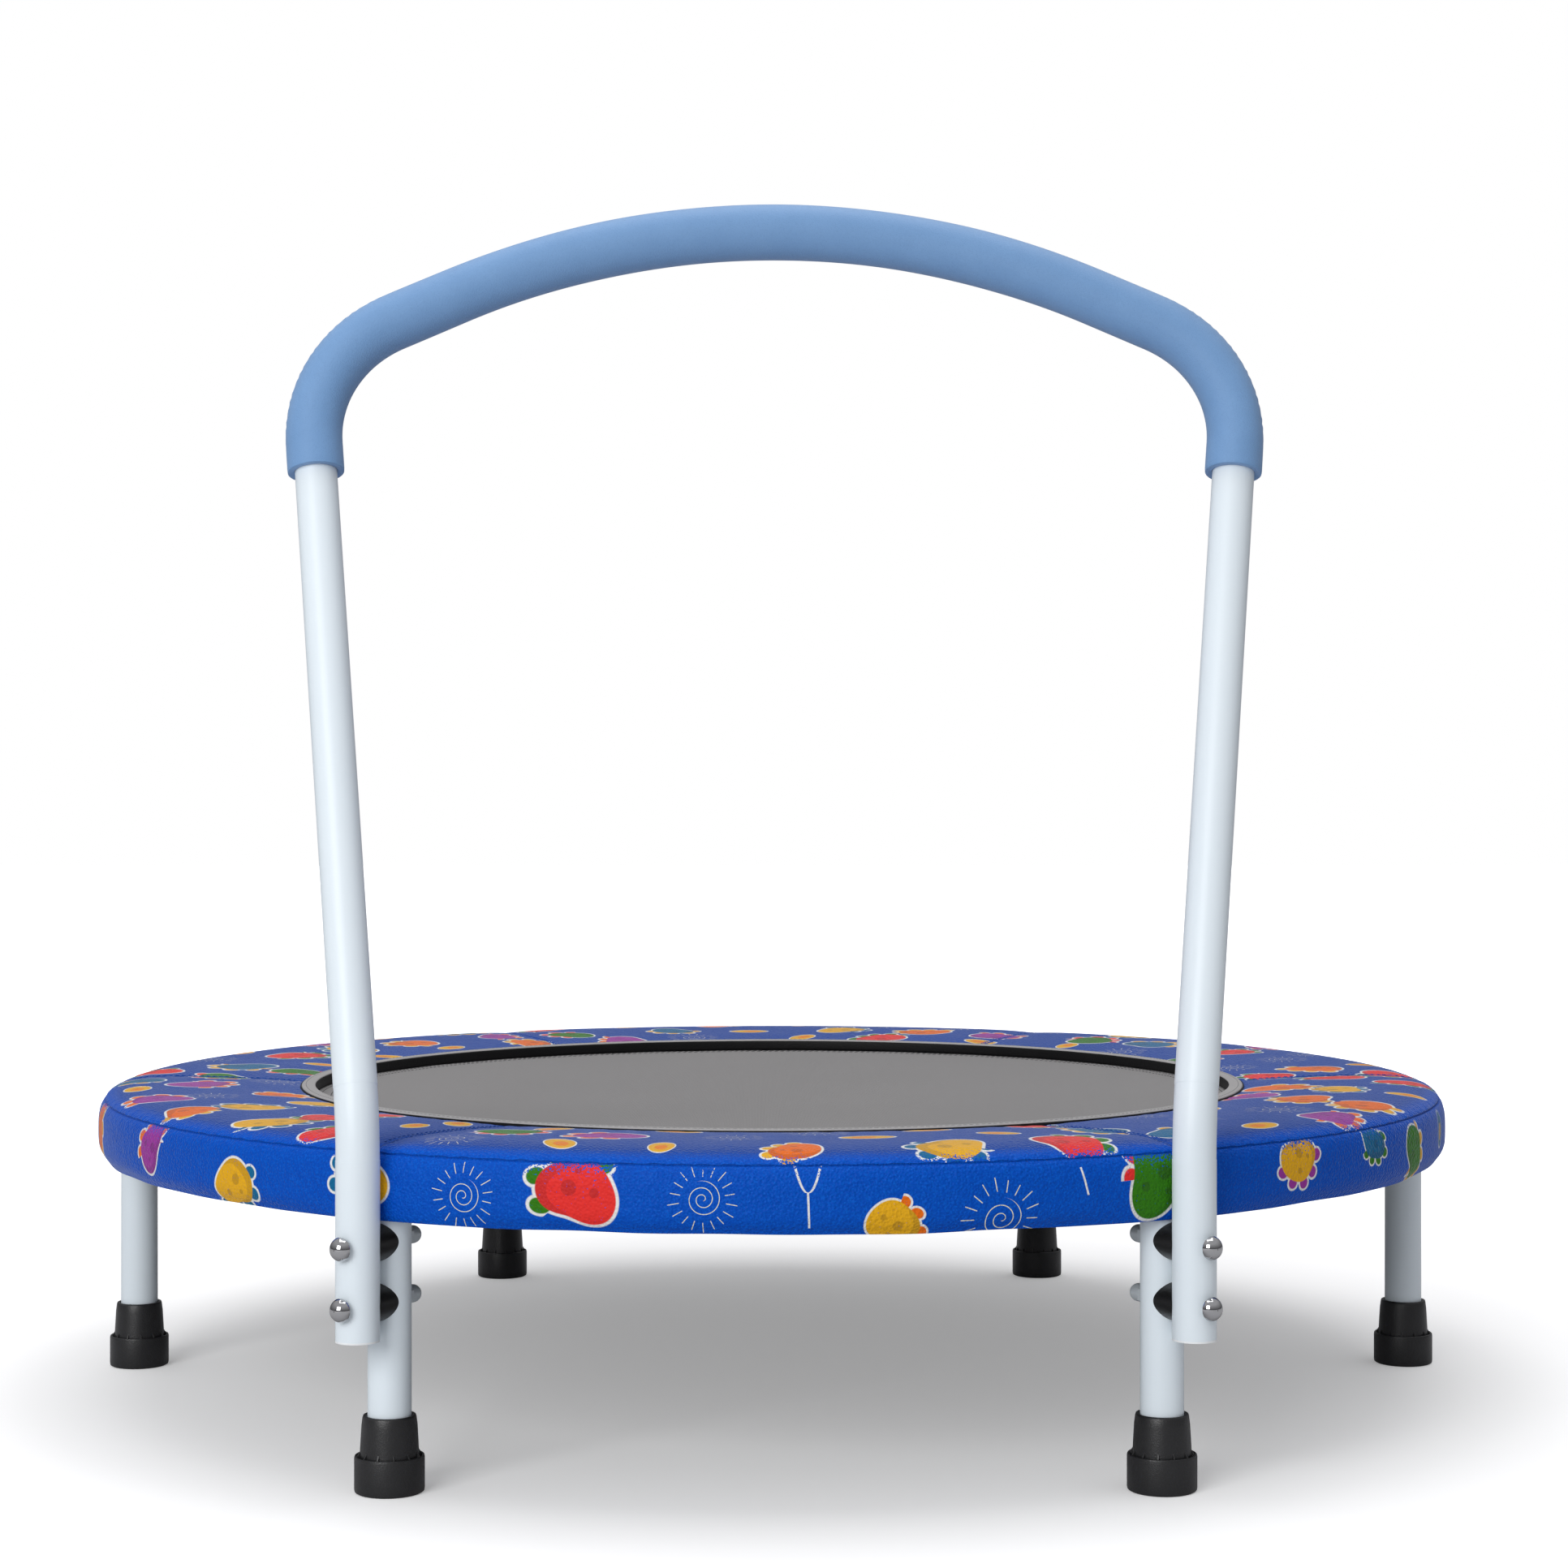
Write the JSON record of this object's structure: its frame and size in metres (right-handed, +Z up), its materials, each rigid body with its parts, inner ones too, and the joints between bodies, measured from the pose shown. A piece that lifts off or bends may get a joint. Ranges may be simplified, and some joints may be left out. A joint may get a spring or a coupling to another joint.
{
  "type": "mini trampoline",
  "caption": "Low round children's trampoline with a padded cover over its springs, a sprung mat, round tube legs and a leaning arched grab handle with a foam grip.",
  "frame": {"origin": "on the floor under the centre of the jumping mat", "axes": "+Z up; the handle stands on the -Y side and leans towards +Y; +X to the right of somebody who faces the handle from outside"},
  "size_m": [0.92, 0.9124, 0.7569],
  "materials": {
    "white_tube": "glossy powder coat, cool white",
    "plain_steel": "zinc plated",
    "spring_steel": "zinc plated wire",
    "bright_steel": "bright plated",
    "foot_rubber": "matt moulded rubber",
    "grip_foam": "matt closed-cell foam, steel blue",
    "white_plastic": "moulded",
    "black_plastic": "moulded",
    "mat_fabric": "tightly woven grey polypropylene",
    "black_webbing": "woven tape",
    "cover_vinyl": "printed vinyl with a fine leather grain, royal blue",
    "lining_fabric": "woven lining",
    "binding_tape": "sewn grey binding",
    "cover_foam": "soft foam sheet"
  },
  "bodies": {
    "frame": {"frame_ring": "white_tube", "handle_tube": "white_tube", "leg_right": "white_tube", "leg_back_right": "white_tube", "leg_back_left": "white_tube", "leg_left": "white_tube", "leg_front_left": "white_tube", "leg_front_right": "white_tube", "leg_studs": "plain_steel", "leg_inserts": "plain_steel", "foot_right": "foot_rubber", "foot_back_right": "foot_rubber", "foot_back_left": "foot_rubber", "foot_left": "foot_rubber", "foot_front_left": "foot_rubber", "foot_front_right": "foot_rubber", "handle_grip": "grip_foam", "post_plug_left": "white_plastic", "post_plug_right": "white_plastic", "spacer_left_upper": "black_plastic", "spacer_left_lower": "black_plastic", "spacer_right_upper": "black_plastic", "spacer_right_lower": "black_plastic", "bolt_left_upper": "bright_steel", "bolt_left_lower": "bright_steel", "bolt_right_upper": "bright_steel", "bolt_right_lower": "bright_steel", "nut_left_upper": "bright_steel", "nut_left_lower": "bright_steel", "nut_right_upper": "bright_steel", "nut_right_lower": "bright_steel", "springs": "spring_steel", "pad_cover": "cover_vinyl", "pad_lining": "lining_fabric", "pad_binding": "binding_tape", "pad_foam_back_right": "cover_foam", "pad_foam_back": "cover_foam", "pad_foam_back_left": "cover_foam", "pad_foam_front_left": "cover_foam", "pad_foam_front": "cover_foam", "pad_foam_front_right": "cover_foam", "pad_straps": "black_webbing"},
    "mat": {"jump_mat": "mat_fabric", "mat_webbing": "black_webbing", "ring_loops": "black_webbing", "spring_rings": "plain_steel"}
  },
  "joints": [
    {"name": "mat_bounce", "type": "slide", "parent": "frame", "child": "mat", "axis": [0, 0, -1], "range_m": [0, 0.07], "stiffness_N_per_m": 5000, "springref_m": -0.004, "deforming": ["springs"]}
  ]
}
